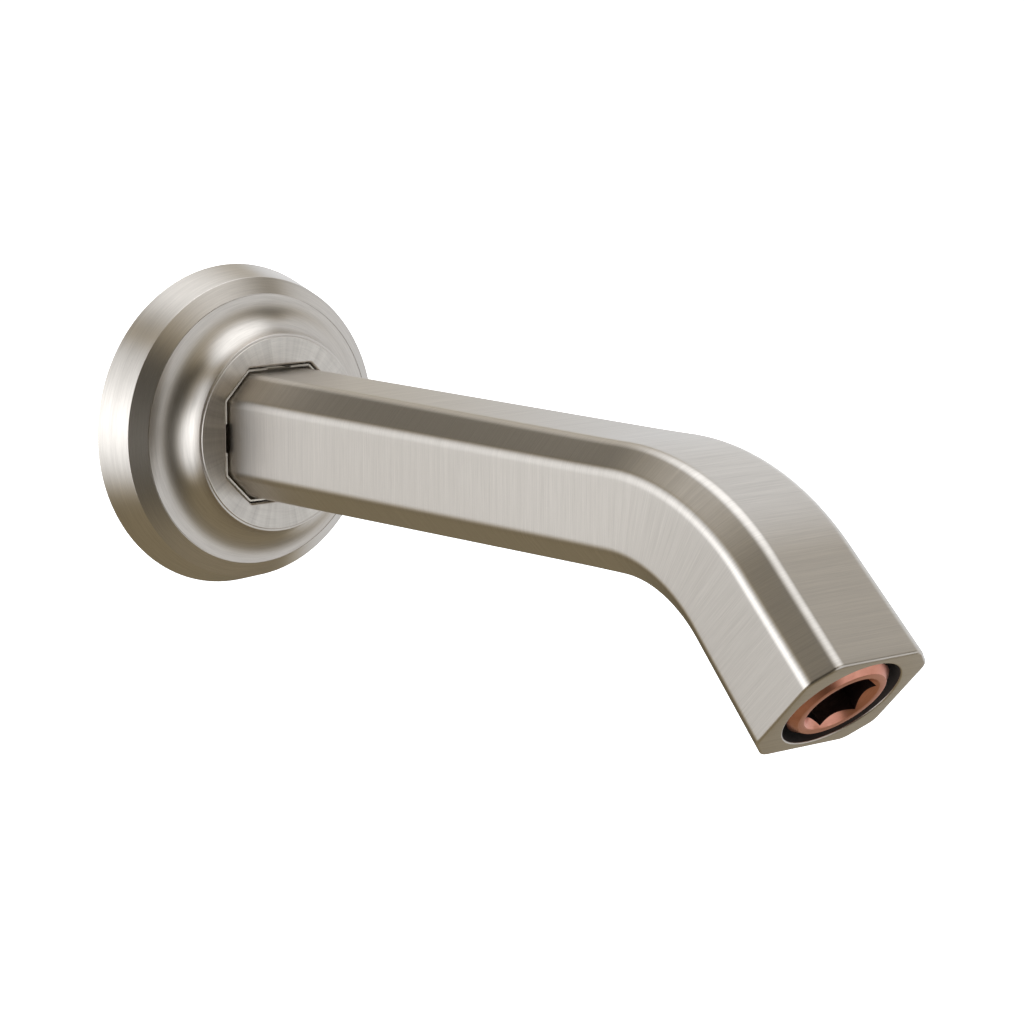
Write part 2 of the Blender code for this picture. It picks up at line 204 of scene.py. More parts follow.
def turned_place(nodes, axis, fineness, reach):
    """Texture place for marks that run round an axis: fine across them and slow along them."""
    x, y, z = object_axes(nodes)
    first, second, height = (x, z, y) if axis == "Y" else (x, y, z)
    squares = nodes.math("ADD", nodes.math("POWER", first, 2.0), nodes.math("POWER", second, 2.0))
    radius = nodes.math("SQRT", squares)
    cosine = nodes.math("DIVIDE", first, nodes.math("MAXIMUM", radius, 1e-5))
    sine = nodes.math("DIVIDE", second, nodes.math("MAXIMUM", radius, 1e-5))
    across = nodes.math("MULTIPLY", nodes.math("ADD", radius, nodes.math("MULTIPLY", height, 0.83)), fineness)
    return nodes.vector(nodes.math("MULTIPLY", cosine, reach), nodes.math("MULTIPLY", sine, reach), across)


def brushed(name, place_of, tangent_of, color, shade, roughness, anisotropy, bump_distance, fan=None):
    """Metal with a directional grain: fine and broad streaks vary its colour, roughness and relief.

    A fan is the share of the colour's variation that goes by angle round the axis instead: it paints the
    light and dark highlight fans that circular brushing reflects.
    """
    nodes = Nodes(name)
    fine = nodes.noise(place_of(nodes, 4200.0), detail=4.0, roughness=0.7)
    broad = nodes.noise(place_of(nodes, 900.0), detail=2.0)
    grain = nodes.math("ADD", nodes.math("MULTIPLY", fine, 0.7), nodes.math("MULTIPLY", broad, 0.3))
    # The colour follows the grain, and with a fan also the painted highlight fans.
    grain_and_painted_fan = grain
    if fan:
        # Painted highlight: light and dark fans round the axis, standing in for how circular brushing
        # reflects light.
        painted_fan = nodes.noise(turned_place(nodes, "Y", 0.0, 7.0), detail=4.0, roughness=0.7)
        grain_and_painted_fan = nodes.math("ADD", nodes.math("MULTIPLY", grain, 1 - fan),
                           nodes.math("MULTIPLY", painted_fan, fan))
    tint = nodes.blend(nodes.remap(grain_and_painted_fan, 0.0, 1.0, 0.35, 0.65), shade, color)
    nodes.bump(grain, bump_distance)
    rough = nodes.remap(grain, roughness + 0.03, roughness - 0.03, 0.30, 0.70)
    tangent_of(nodes)
    return nodes.surface(Base_Color=tint, Metallic=1.0, Roughness=rough, Anisotropic=anisotropy)


def arm_place(nodes, fineness):
    """The arm's own map: U runs round the section and V along the arm, both in metres."""
    uv = nodes.add("ShaderNodeUVMap", uv_map="grain")
    split = nodes.add("ShaderNodeSeparateXYZ")
    nodes.feed(split, 0, uv.outputs[0])
    return nodes.vector(nodes.math("MULTIPLY", split.outputs[0], fineness * 0.022),
                        nodes.math("MULTIPLY", split.outputs[1], fineness), 0.0)


def arm_tangent(nodes):
    tangent = nodes.add("ShaderNodeTangent", direction_type="UV_MAP", uv_map="grain")
    nodes.feed(nodes.shader, "Tangent", tangent.outputs[0])
    nodes.feed(nodes.shader, "Anisotropic Rotation", 0.25)


def flat_place(nodes, fineness):
    """Straight grain along X, for the arm's ends."""
    x, y, z = object_axes(nodes)
    depth = nodes.math("SUBTRACT", y, z)
    return nodes.vector(nodes.math("MULTIPLY", x, fineness * 0.03),
                        nodes.math("MULTIPLY", depth, fineness), 0.0)


def no_tangent(nodes):
    return None


def radial_tangent(axis):
    def feed(nodes):
        tangent = nodes.add("ShaderNodeTangent", direction_type="RADIAL", axis=axis)
        nodes.feed(nodes.shader, "Tangent", tangent.outputs[0])
        nodes.feed(nodes.shader, "Anisotropic Rotation", 0.25)
    return feed


def round_place(axis):
    return lambda nodes, fineness: turned_place(nodes, axis, fineness, fineness / 900.0)


def soft(name, color, shade, roughness, scale, bump_distance):
    """Rubber, plastic, foam or fibre with an even, fine-grained surface."""
    nodes = Nodes(name)
    where = nodes.add("ShaderNodeTexCoord").outputs["Object"]
    grain = nodes.noise(where, scale=scale, detail=5.0, roughness=0.65)
    cloud = nodes.noise(where, scale=scale / 12, detail=2.0)
    tint = nodes.blend(nodes.remap(cloud, 0.0, 1.0, 0.35, 0.65), shade, color)
    nodes.bump(grain, bump_distance)
    return nodes.surface(Base_Color=tint, Metallic=0.0,
                         Roughness=nodes.remap(grain, roughness - 0.06, roughness + 0.06, 0.3, 0.7))


NICKEL, NICKEL_SHADE = (0.70, 0.64, 0.57), (0.58, 0.53, 0.47)
# Lighter and darker nickel for the flange face: its grain, and the painted highlight fans laid on it.
NICKEL_GRAIN_PAINTED_FAN_LIGHT, NICKEL_GRAIN_PAINTED_FAN_SHADE = (0.76, 0.70, 0.62), (0.52, 0.475, 0.42)
COPPER, COPPER_SHADE = (0.82, 0.37, 0.26), (0.70, 0.30, 0.21)
# Nearly black copper: painted shade for the insert's hexagon walls and what lies below them.
COPPER_PAINTED_SHADE, COPPER_PAINTED_SHADE_STREAK = (0.085, 0.050, 0.045), (0.050, 0.031, 0.028)
BRASS, BRASS_SHADE = (0.78, 0.58, 0.28), (0.66, 0.47, 0.21)
STEEL, STEEL_SHADE = (0.62, 0.62, 0.62), (0.50, 0.50, 0.50)

LOOKS = {
    "arm": brushed("nickel_arm", arm_place, arm_tangent, NICKEL, NICKEL_SHADE, 0.31, 0.70, 3.5e-6),
    "arm_end": brushed("nickel_end", flat_place, no_tangent, NICKEL, NICKEL_SHADE, 0.36, 0.0, 1.5e-6),
    "flange": brushed("nickel_flange", round_place("Y"), radial_tangent("Y"), NICKEL, NICKEL_SHADE,
                      0.31, 0.70, 1.5e-6),
    # The face's colour holds painted highlight fans as well as its grain.
    "flange_face": brushed("nickel_face", round_place("Y"), radial_tangent("Y"), NICKEL_GRAIN_PAINTED_FAN_LIGHT, NICKEL_GRAIN_PAINTED_FAN_SHADE,
                           0.31, 0.70, 1.2e-6, fan=0.6),
    # Nearly black: painted shade on the hollows inside the arm.
    "bore": soft("bore_painted_shade", (0.030, 0.027, 0.025), (0.016, 0.015, 0.014), 0.50, 1400.0, 4.0e-6),
    "copper": brushed("copper_turned", round_place("Z"), radial_tangent("Z"), COPPER, COPPER_SHADE,
                      0.34, 0.4, 1.5e-6),
    # Painted shade inside the insert.
    "copper_inside_painted_shade": brushed("copper_inside_painted_shade", round_place("Z"), radial_tangent("Z"), COPPER_PAINTED_SHADE,
                             COPPER_PAINTED_SHADE_STREAK, 0.42, 0.2, 1.5e-6),
    "brass": brushed("brass_turned", round_place("Y"), radial_tangent("Y"), BRASS, BRASS_SHADE,
                     0.28, 0.5, 3.0e-6),
    "steel": brushed("steel_rolled", flat_place, no_tangent, STEEL, STEEL_SHADE, 0.30, 0.0, 1.5e-6),
    "rubber": soft("rubber_black", (0.022, 0.022, 0.022), (0.012, 0.012, 0.012), 0.62, 2600.0, 1.0e-5),
    "foam": soft("foam_grey", (0.20, 0.20, 0.20), (0.12, 0.12, 0.12), 0.90, 1500.0, 9.0e-5),
    "nylon": soft("nylon_light", (0.74, 0.70, 0.63), (0.66, 0.62, 0.55), 0.45, 1800.0, 4.0e-6),
    "fibre": soft("fibre_red", (0.46, 0.13, 0.08), (0.30, 0.07, 0.04), 0.78, 2200.0, 2.5e-5),
}


# Outlines ------------------------------------------------------------------------------------------


def octagon(section):
    """Corners of a chamfered rectangle, counterclockwise from the right side's upper corner."""
    half_width, half_height, chamfer = section
    w, h = half_width - chamfer, half_height - chamfer
    quarter = [(half_width, h), (w, half_height)]
    corners = list(quarter)
    corners += [(-x, z) for x, z in reversed(quarter)]
    corners += [(-x, -z) for x, z in quarter]
    corners += [(x, -z) for x, z in reversed(quarter)]
    return corners


def grown(section, by):
    """A section with every side moved out by that much."""
    return (section[0] + by, section[1] + by, section[2] + by * (2 - math.sqrt(2)))


def rounded(corners, radius, steps):
    """The outline with every corner turned into an arc; gives one list of points for each corner."""
    arcs = []
    count = len(corners)
    for i, corner in enumerate(corners):
        here = Vector(corner)
        before = (Vector(corners[i - 1]) - here).normalized()
        after = (Vector(corners[(i + 1) % count]) - here).normalized()
        half = before.angle(after) / 2
        centre = here + (before + after).normalized() * radius / math.sin(half)
        start = here + before * radius / math.tan(half) - centre
        sweep = start.angle(here + after * radius / math.tan(half) - centre)
        arcs.append([centre + Matrix.Rotation(sweep * k / steps, 2) @ start for k in range(steps + 1)])
    return arcs


def fine_octagon(section, radius):
    """ROUND points: nine on each rounded corner, and the rest spread over the flats."""
    arcs = rounded(octagon(section), radius, 8)
    points = []
    for k, corner in enumerate(arcs):
        points += corner
        following = arcs[(k + 1) % len(arcs)][0]
        inner = 3 if k % 2 == 0 else 15
        points += [corner[-1].lerp(following, (j + 1) / (inner + 1)) for j in range(inner)]
    return [(p.x, p.y) for p in points]


def circle(radius):
    """ROUND points that start at the height of the octagon's first corner."""
    start = math.radians(24.0)
    turns = [start + 2 * math.pi * k / ROUND for k in range(ROUND)]
    return [(radius * math.cos(t), radius * math.sin(t)) for t in turns]


def hexagon(flats):
    radius = flats / 2 / math.cos(math.radians(30))
    turns = [math.radians(30 + 60 * k) for k in range(6)]
    return [(radius * math.cos(t), radius * math.sin(t)) for t in turns]


def arc(centre, radius, start, end, steps):
    turns = [math.radians(start + (end - start) * k / steps) for k in range(steps + 1)]
    return [(centre[0] + radius * math.cos(t), centre[1] + radius * math.sin(t)) for t in turns]


def softened(profile, radius, steps=3, closed=True):
    """A profile with its corners rounded, except those that turn by less than 20 degrees."""
    points = []
    count = len(profile)
    for i, corner in enumerate(profile):
        if not closed and i in (0, count - 1):
            points.append(corner)
            continue
        here = Vector(corner)
        before, after = Vector(profile[i - 1]) - here, Vector(profile[(i + 1) % count]) - here
        turn = math.pi - before.angle(after)
        if turn < math.radians(20):
            points.append(corner)
            continue
        half = (math.pi - turn) / 2
        reach = min(radius / math.tan(half), 0.45 * before.length, 0.45 * after.length)
        own = reach * math.tan(half)
        centre = here + (before.normalized() + after.normalized()).normalized() * own / math.sin(half)
        start, end = here + before.normalized() * reach - centre, here + after.normalized() * reach - centre
        sweep = start.angle(end)
        if start.x * end.y - start.y * end.x < 0:
            sweep = -sweep
        points += [tuple(centre + Matrix.Rotation(sweep * k / steps, 2) @ start) for k in range(steps + 1)]
    return points


# Meshes --------------------------------------------------------------------------------------------


def finish_mesh(name, shape, looks, angle=35.0):
    """Turns a bmesh into an object with smooth faces, sharp edges kept and its faces pointing out."""
    bmesh.ops.remove_doubles(shape, verts=shape.verts, dist=1e-7)
    bmesh.ops.recalc_face_normals(shape, faces=shape.faces)
    mesh = bpy.data.meshes.new(name)
    shape.to_mesh(mesh)
    shape.free()
    for look in looks:
        mesh.materials.append(LOOKS[look])
    mesh.shade_smooth()
    mesh.set_sharp_from_angle(angle=math.radians(angle))
    made = bpy.data.objects.new(name, mesh)
    bpy.context.scene.collection.objects.link(made)
    return made


def ring_skin(name, rings, looks, closed=True, map_lengths=None, face_look=None, angle=35.0):
    """A skin through rings of as many points; closed joins the last ring to the first."""
    shape = bmesh.new()
    layer = shape.loops.layers.uv.new("grain")
    rows = [[shape.verts.new(Vector(point) * MM) for point in ring] for ring in rings]
    count = len(rows[0])
    last = len(rows) if closed else len(rows) - 1
    girth = [0.0]
    for k in range(count):
        girth.append(girth[-1] + (Vector(rings[0][(k + 1) % count]) - Vector(rings[0][k])).length * MM)
    along = map_lengths or [0.0] * len(rows)
    for i in range(last):
        low, high = rows[i], rows[(i + 1) % len(rows)]
        for k in range(count):
            after = (k + 1) % count
            face = shape.faces.new((low[k], low[after], high[after], high[k]))
            places = [(girth[k], along[i]), (girth[k + 1], along[i]),
                      (girth[k + 1], along[(i + 1) % len(rows)]), (girth[k], along[(i + 1) % len(rows)])]
            for loop, place in zip(face.loops, places):
                loop[layer].uv = place
            if face_look:
                face.material_index = face_look(i)
    if not closed:
        shape.faces.new(list(reversed(rows[0])))
        shape.faces.new(rows[-1])
    return finish_mesh(name, shape, looks, angle)


def turned(name, profile, looks, sides=SIDES, closed=True, angle=35.0):
    """Turns (radius, height) points about the local Z axis; an open profile starts and ends on the axis."""
    shape = bmesh.new()
    turns = [2 * math.pi * k / sides for k in range(sides)]
    columns = []
    for radius, height in profile:
        if radius < 1e-6:
            columns.append([shape.verts.new((0, 0, height * MM))] * sides)
        else:
            columns.append([shape.verts.new((radius * MM * math.cos(t), radius * MM * math.sin(t),
                                             height * MM)) for t in turns])
    pairs = list(zip(columns, columns[1:]))
    if closed:
        pairs.append((columns[-1], columns[0]))
    for low, high in pairs:
        for k in range(sides):
            corners = [low[k], low[(k + 1) % sides], high[(k + 1) % sides], high[k]]
            unique = [v for n, v in enumerate(corners) if v not in corners[:n]]
            if len(unique) > 2:
                shape.faces.new(unique)
    return finish_mesh(name, shape, looks, angle)


def add_prism(shape, outline, low, high):
    """Adds a closed straight body between two heights along Z."""
    rows = [[shape.verts.new((x * MM, y * MM, z * MM)) for x, y in outline] for z in (low, high)]
    count = len(outline)
    for k in range(count):
        shape.faces.new((rows[0][k], rows[0][(k + 1) % count], rows[1][(k + 1) % count], rows[1][k]))
    shape.faces.new(list(reversed(rows[0])))
    shape.faces.new(rows[1])


def prism(name, outline, low, high, place=None):
    """A straight cutter between two heights along Z, placed by a matrix."""
    shape = bmesh.new()
    add_prism(shape, outline, low, high)
    made = finish_mesh(name, shape, [])
    if place:
        made.matrix_world = place
    return made


def cut(item, cutters, angle=35.0):
    """Takes the cutters out of a piece for good, and removes them."""
    bpy.context.view_layer.update()
    for cutter in cutters:
        modifier = item.modifiers.new("cut", "BOOLEAN")
        modifier.operation = "DIFFERENCE"
        modifier.solver = "EXACT"
        modifier.object = cutter
    bpy.context.view_layer.update()
    depsgraph = bpy.context.evaluated_depsgraph_get()
    mesh = bpy.data.meshes.new_from_object(item.evaluated_get(depsgraph))
    item.modifiers.clear()
    item.data = mesh
    mesh.shade_smooth()
    mesh.set_sharp_from_angle(angle=math.radians(angle))
    for cutter in cutters:
        bpy.data.objects.remove(cutter)


def even_shading(item):
    """Keeps flat faces flat beside small rounded edges."""
    modifier = item.modifiers.new("even_shading", "WEIGHTED_NORMAL")
    modifier.keep_sharp = True
    modifier.weight = 100


def stand_for(item, node, body):
    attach(item, body)
    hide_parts(node)
    even_shading(item)


FROM_WALL = Matrix.Rotation(math.radians(90), 4, "X")  # takes heights along +Z to depths from the wall


# Arm -----------------------------------------------------------------------------------------------


def arm_frame(along):
    turn = min(max((along - STRAIGHT) / BEND_RADIUS, 0.0), BEND_ANGLE)
    before = min(along, STRAIGHT)
    after = max(along - STRAIGHT - BEND_LENGTH, 0.0)
    y = -before - BEND_RADIUS * math.sin(turn) - after * math.cos(turn)
    z = -BEND_RADIUS * (1 - math.cos(turn)) - after * math.sin(turn)
    return Vector((0, y, z)), Vector((0, -math.sin(turn), math.cos(turn)))


def arm_section(along):
    """The three sizes in straight changes from wall to bend to outlet, eased where they meet."""
    sizes = []
    for wall, bend, outlet in zip(WALL_SECTION, BEND_SECTION, OUTLET_SECTION):
        first = (bend - wall) / STRAIGHT
        second = (outlet - bend) / (ARM_LENGTH - STRAIGHT)
        past = along - STRAIGHT
        eased = (past + EASE) ** 2 / (4 * EASE) if abs(past) < EASE else max(past, 0.0)
        sizes.append(bend + first * past + (second - first) * eased)
    return tuple(sizes)


def section_ring(along, outline):
    centre, up = arm_frame(along)
    return [centre + Vector((x, 0, 0)) + up * z for x, z in outline]


def outlet_place():
    centre, _ = arm_frame(ARM_LENGTH)
    return Matrix.Translation(centre * MM) @ Matrix.Rotation(math.radians(90) + BEND_ANGLE, 4, "X")


def stations(start, end, step):
    count = max(2, round((end - start) / step))
    return [start + (end - start) * k / count for k in range(count + 1)]


def make_arm():
    """The skin runs out along the outside, over the outlet face, and back through the hollows."""
    skin = stations(ARM_START + 0.4, STRAIGHT - EASE, 12.0)
    skin += stations(STRAIGHT - EASE, ARM_LENGTH - FACE_BEVEL, 1.6)[1:]
    rings, lengths, looks = [], [], []

    def put(along, outline, look=0):
        """Adds a ring; the look is that of the faces between it and the next one."""
        rings.append(section_ring(along, outline))
        lengths.append(along * MM)
        looks.append(look)

    put(ARM_START, fine_octagon(grown(arm_section(ARM_START), -0.4), FILLET))
    for along in skin:
        put(along, fine_octagon(arm_section(along), FILLET))
    last = arm_section(ARM_LENGTH)
    for turn in (22.5, 45, 67.5, 90):
        inwards = FACE_BEVEL * (1 - math.cos(math.radians(turn)))
        rise = FACE_BEVEL * math.sin(math.radians(turn))
        put(ARM_LENGTH - FACE_BEVEL + rise, fine_octagon(grown(last, -inwards), FILLET))
    looks[-1] = 1
    for turn in (0, 30, 60, 90):
        radius = OUTLET_RADIUS + HOLE_EDGE * (1 - math.sin(math.radians(turn)))
        put(ARM_LENGTH - HOLE_EDGE * (1 - math.cos(math.radians(turn))), circle(radius), 1)
    # The hollows from here on take the painted shade.
    looks[-1] = 2
    bore = [(OUTLET_RADIUS, OUTLET_DEPTH), (THREAD_BORE_RADIUS + 0.3, OUTLET_DEPTH),
            (THREAD_BORE_RADIUS, OUTLET_DEPTH + 0.3), (THREAD_BORE_RADIUS, THREAD_BORE_DEPTH),
            (WATERWAY_RADIUS, THREAD_BORE_DEPTH)]
    for radius, depth in bore:
        put(ARM_LENGTH - depth, circle(radius), 2)
    way = [s for s in reversed(skin) if SOCKET_DEPTH < s < ARM_LENGTH - THREAD_BORE_DEPTH - 1]
    for along in way[::2]:
        put(along, circle(WATERWAY_RADIUS), 2)
    socket = [(WATERWAY_RADIUS, SOCKET_DEPTH), (SOCKET_RADIUS, SOCKET_DEPTH),
              (SOCKET_RADIUS, ARM_START + 0.4), (SOCKET_RADIUS + 0.4, ARM_START)]
    for radius, along in socket:
        put(along, circle(radius), 2)
    looks[-1] = 1

    arm = ring_skin("spout_arm_skin", rings, ["arm", "arm_end", "bore"], map_lengths=lengths,
                    face_look=lambda i: looks[i])
    hole = turned("set_screw_hole", [(0, -8.5), (SCREW_HOLE_RADIUS, -8.5), (SCREW_HOLE_RADIUS, -20),
                                     (0, -20)], [], sides=48, closed=False)
    hole.matrix_world = Matrix.Translation((0, -SCREW_DEPTH * MM, 0))
    cut(arm, [hole])
    stand_for(arm, "spout_arm", "spout")


# Flange and what it holds ------------------------------------------------------------------------


def make_flange():
    """Rings from the hole's front edge outwards and down to the foot, then back up the hollow inside."""
    turns = [math.radians(t) for t in (0, 22.5, 45, 67.5, 90)]
    rings = []
    for turn in turns:
        outline = fine_octagon(grown(HOLE_SECTION, FACE_EDGE * (1 - math.cos(turn))), HOLE_CORNER)
        depth = FACE_DEPTH - FACE_EDGE * (1 - math.sin(turn))
        rings.append([(x, -depth, z) for x, z in outline])
    outer = [(20.6, FACE_DEPTH), (20.8, FACE_DEPTH - 0.05), (20.9, FACE_DEPTH - 0.2),
             (20.9, FACE_DEPTH - 0.3), (21.3, FACE_DEPTH - 0.3), (21.42, FACE_DEPTH - 0.42)]
    outer += arc(COVE_CENTRE, COVE_RADIUS, 182, 269, 40)
    outer += [(29.15, 11.12), (29.15, 10.95), (29.35, 10.95), (29.35, 11.06)]
    outer += softened([(29.35, 11.06), FRONT_RING, (FOOT_RADIUS, 0.3)], 0.3, closed=False)[1:-1]
    outer += [(34.95, 0.5), (34.8, 0.3), (34.0, 0.3), (34.0, 1.9), (31.0, 1.9), (31.0, 0.3), (28.8, 0.3),
              (28.6, 2.4), (28.0, 7.2), (20.9, 8.7), (SEAT_RADIUS, 9.2), (SEAT_RADIUS, GROOVE_DEPTHS[0]),
              (GROOVE_WALL, GROOVE_DEPTHS[0]), (GROOVE_WALL, GROOVE_DEPTHS[1]),
              (SEAT_RADIUS, GROOVE_DEPTHS[1]), (SEAT_RADIUS, FACE_DEPTH - PLATE)]
    rings += [[(x, -depth, z) for x, z in circle(radius)] for radius, depth in outer]
    rings.append([(x, PLATE - FACE_DEPTH, z) for x, z in fine_octagon(HOLE_SECTION, HOLE_CORNER)])
    flange = ring_skin("wall_flange_skin", rings, ["flange", "flange_face"], angle=40.0,
                       face_look=lambda i: int(i == len(turns) - 1))
    stand_for(flange, "wall_flange", "flange")


def outline_rings(pairs):
    """Rings in front of the wall from pairs of depth and outline."""
    return [[(x, -depth, z) for x, z in outline] for depth, outline in pairs]


def make_centering_ring():
    """A round base with a thin octagonal collar, notched at the middle of each flat."""
    back, front = RING_DEPTHS
    hole = fine_octagon(RING_HOLE_SECTION, 0.8)
    collar = fine_octagon(grown(RING_HOLE_SECTION, COLLAR_WALL), 1.0)
    rings = outline_rings([
        (back, hole), (back, circle(HELD_RADIUS - 0.3)), (back + 0.3, circle(HELD_RADIUS)),
        (front - 0.3, circle(HELD_RADIUS)), (front, circle(HELD_RADIUS - 0.3)), (front, collar),
        (COLLAR_DEPTH - 0.1, collar),
        (COLLAR_DEPTH, fine_octagon(grown(RING_HOLE_SECTION, COLLAR_WALL - 0.1), 0.9)),
        (COLLAR_DEPTH, fine_octagon(grown(RING_HOLE_SECTION, 0.1), 0.85)), (COLLAR_DEPTH - 0.1, hole)])
    ring = ring_skin("centering_ring_body", rings, ["nylon"])
    outlines = [[(25, NOTCH), (-25, NOTCH), (-25, -NOTCH), (25, -NOTCH)],
                [(NOTCH, 25), (-NOTCH, 25), (-NOTCH, -25), (NOTCH, -25)]]
    cut(ring, [prism("notch", list(reversed(outline)), front + 0.4, 20, FROM_WALL) for outline in outlines])
    stand_for(ring, "centering_ring", "flange")


def make_wiper_seal():
    back, front = SEAL_DEPTHS
    outline = fine_octagon(grown(RING_HOLE_SECTION, COLLAR_WALL + 0.3), 1.0)
    inner = fine_octagon(grown(RING_HOLE_SECTION, COLLAR_WALL + 0.5), 1.0)
    rings = outline_rings([
        (back, inner), (back, circle(HELD_RADIUS - 0.2)), (back + 0.2, circle(HELD_RADIUS)),
        (front - 0.2, circle(HELD_RADIUS)), (front, circle(HELD_RADIUS - 0.2)), (front, inner),
        (front - 0.2, outline), (back + 0.2, outline)])
    seal = ring_skin("arm_wiper_seal_body", rings, ["rubber"])
    stand_for(seal, "arm_wiper_seal", "flange")


def wall_ring(name, profile, look, node, body, sides=SIDES, cutters=(), soften=0.15):
    """A turned piece on the supply axis, its heights being depths from the wall."""
    made = turned(name, softened(profile, soften), [look], sides)
    made.data.transform(FROM_WALL)
    if cutters:
        cut(made, list(cutters))
    stand_for(made, node, body)
    return made


def ring_profile(inner, outer, low, high):
    return [(outer, high), (outer, low), (inner, low), (inner, high)]


def make_flange_rings():
    wall_ring("seal_backing_washer_body", ring_profile(WASHER_INNER, HELD_RADIUS, 11.4, 12.1), "steel",
              "seal_backing_washer", "flange")
    gap = prism("clip_gap", [(-4, -30), (4, -30), (4, 0), (-4, 0)], 9, 12, FROM_WALL)
    wall_ring("flange_retaining_clip_body", ring_profile(*CLIP_RADII, 10.2, 11.0), "steel",
              "flange_retaining_clip", "flange", cutters=[gap])
    wall_ring("flange_wall_gasket_body", ring_profile(*GASKET_RADII, 0, GASKET_DEPTH), "foam",
              "flange_wall_gasket", "flange", soften=0.3)


# Shank -------------------------------------------------------------------------------------------


def shank_profile():
    """The part of the shank in front of its thread, down the outer side from the nose."""
    outer = [(SHANK_RADIUS - 1, SHANK_NOSE), (SHANK_RADIUS, SHANK_NOSE - 1)]
    for depth in reversed(O_RING_DEPTHS):
        outer += [(SHANK_RADIUS, depth + 1.4), (SHANK_RADIUS - O_RING_GROOVE, depth + 1.4),
                  (SHANK_RADIUS - O_RING_GROOVE, depth - 1.4), (SHANK_RADIUS, depth - 1.4)]
    outer += [(SHANK_RADIUS, SCREW_DEPTH + 3.5), (GROOVE_RADIUS, SCREW_DEPTH + 2.5),
              (GROOVE_RADIUS, SCREW_DEPTH - 2.5), (SHANK_RADIUS, SCREW_DEPTH - 3.5), (SHANK_RADIUS, 2.0),
              (9.2, 1.2)]
    return outer


def thread_radius(height, phase):
    """Radius on a tapered thread: a vee of that phase, which runs out at both ends."""
    crest = SHANK_RADIUS + height / 32
    depth = 1.25
    vee = abs(2 * (phase % 1.0) - 1)
    tooth = min(max((vee - 0.06) / 0.88, 0.0), 1.0) * depth
    entry = min(max((height - THREAD_END) / 1.6, 0.0), 1.0)
    return min(crest - tooth, crest - depth + entry * depth)


def make_shank():
    """A grid wound as a helix for the thread, closed by the shank's plain front and its bore."""
    sides, parts = 96, 14
    top, turns = 0.6, 13
    shape = bmesh.new()
    angles = [2 * math.pi * k / sides for k in range(sides)]

    def vertex(radius, angle, height):
        return shape.verts.new((radius * MM * math.cos(angle), radius * MM * math.sin(angle), height * MM))

    def ring(radius, height):
        return [vertex(radius, t, height) for t in angles]

    def wound(k, step):
        """Vertex k of this step down the helix, held between the thread's two ends."""
        height = top + THREAD_PITCH * (1 - step / parts - k / sides)
        held = min(max(height, THREAD_END), top)
        radius = thread_radius(held, step / parts) if THREAD_END < height < top else thread_radius(
            held, (top + THREAD_PITCH * (1 - k / sides) - held) / THREAD_PITCH)
        if held > -1.2:
            radius = min(radius, 9.4 + max(-held, 0.0) * 1.1)
        return vertex(radius, angles[k % sides], held)

    steps = parts * turns
    grid = [[wound(k, step) for k in range(sides + 1)] for step in range(steps + 1)]
    for low, high in zip(grid, grid[1:]):
        for k in range(sides):
            shape.faces.new((low[k], low[k + 1], high[k + 1], high[k]))
    bmesh.ops.remove_doubles(shape, verts=shape.verts, dist=2e-6)
    bmesh.ops.dissolve_degenerate(shape, edges=shape.edges, dist=2e-6)

    def rim(height):
        """Open border vertices at one end, in order of angle."""
        found = {v for e in shape.edges if e.is_boundary for v in e.verts if abs(v.co.z - height * MM) < 1e-6}
        return sorted(found, key=lambda v: math.atan2(v.co.y, v.co.x) % (2 * math.pi))

    def bridge(first, second):
        """Joins two closed loops of as many vertices."""
        for k in range(len(first)):
            after = (k + 1) % len(first)
            shape.faces.new((first[k], first[after], second[after], second[k]))

    upper, lower = rim(top), rim(THREAD_END)
    profile = softened(shank_profile(), 0.2, closed=False)
    front = [ring(radius, height) for radius, height in reversed(profile)]
    bore = [ring(SHANK_BORE, SHANK_NOSE), ring(SHANK_BORE, SHANK_NOSE - 12), ring(SHANK_BORE, 0),
            ring(SHANK_BORE, THREAD_END + 0.4), ring(SHANK_BORE + 0.4, THREAD_END)]
    if len(upper) != sides or len(lower) != sides:
        raise ValueError("the thread's ends have %d and %d vertices, not %d"
                         % (len(upper), len(lower), sides))
    chain = [upper] + front + bore + [lower]
    for first, second in zip(chain, chain[1:]):
        bridge(first, second)
    shank = finish_mesh("mounting_shank_body", shape, ["brass"], 30.0)
    shank.data.transform(FROM_WALL)
    key = prism("shank_key", hexagon(HEX_FLATS), SHANK_NOSE - 9, SHANK_NOSE + 3, FROM_WALL)
    cut(shank, [key], 30.0)
    stand_for(shank, "mounting_shank", "spout")


def make_shank_seals():
    for name, depth in zip(("shank_o_ring_rear", "shank_o_ring_front"), O_RING_DEPTHS):
        middle = SHANK_RADIUS - O_RING_GROOVE + 0.3 + O_RING_THICKNESS
        round_section = arc((middle, depth), O_RING_THICKNESS, 360, 30, 11)
        made = turned(name + "_body", round_section, ["rubber"], 96, angle=80.0)
        made.data.transform(FROM_WALL)
        stand_for(made, name, "spout")
    wall_ring("shank_stop_washer_body", ring_profile(7.8, 10.6, SHANK_NOSE + 0.3, SOCKET_DEPTH - 0.3),
              "fibre", "shank_stop_washer", "spout")


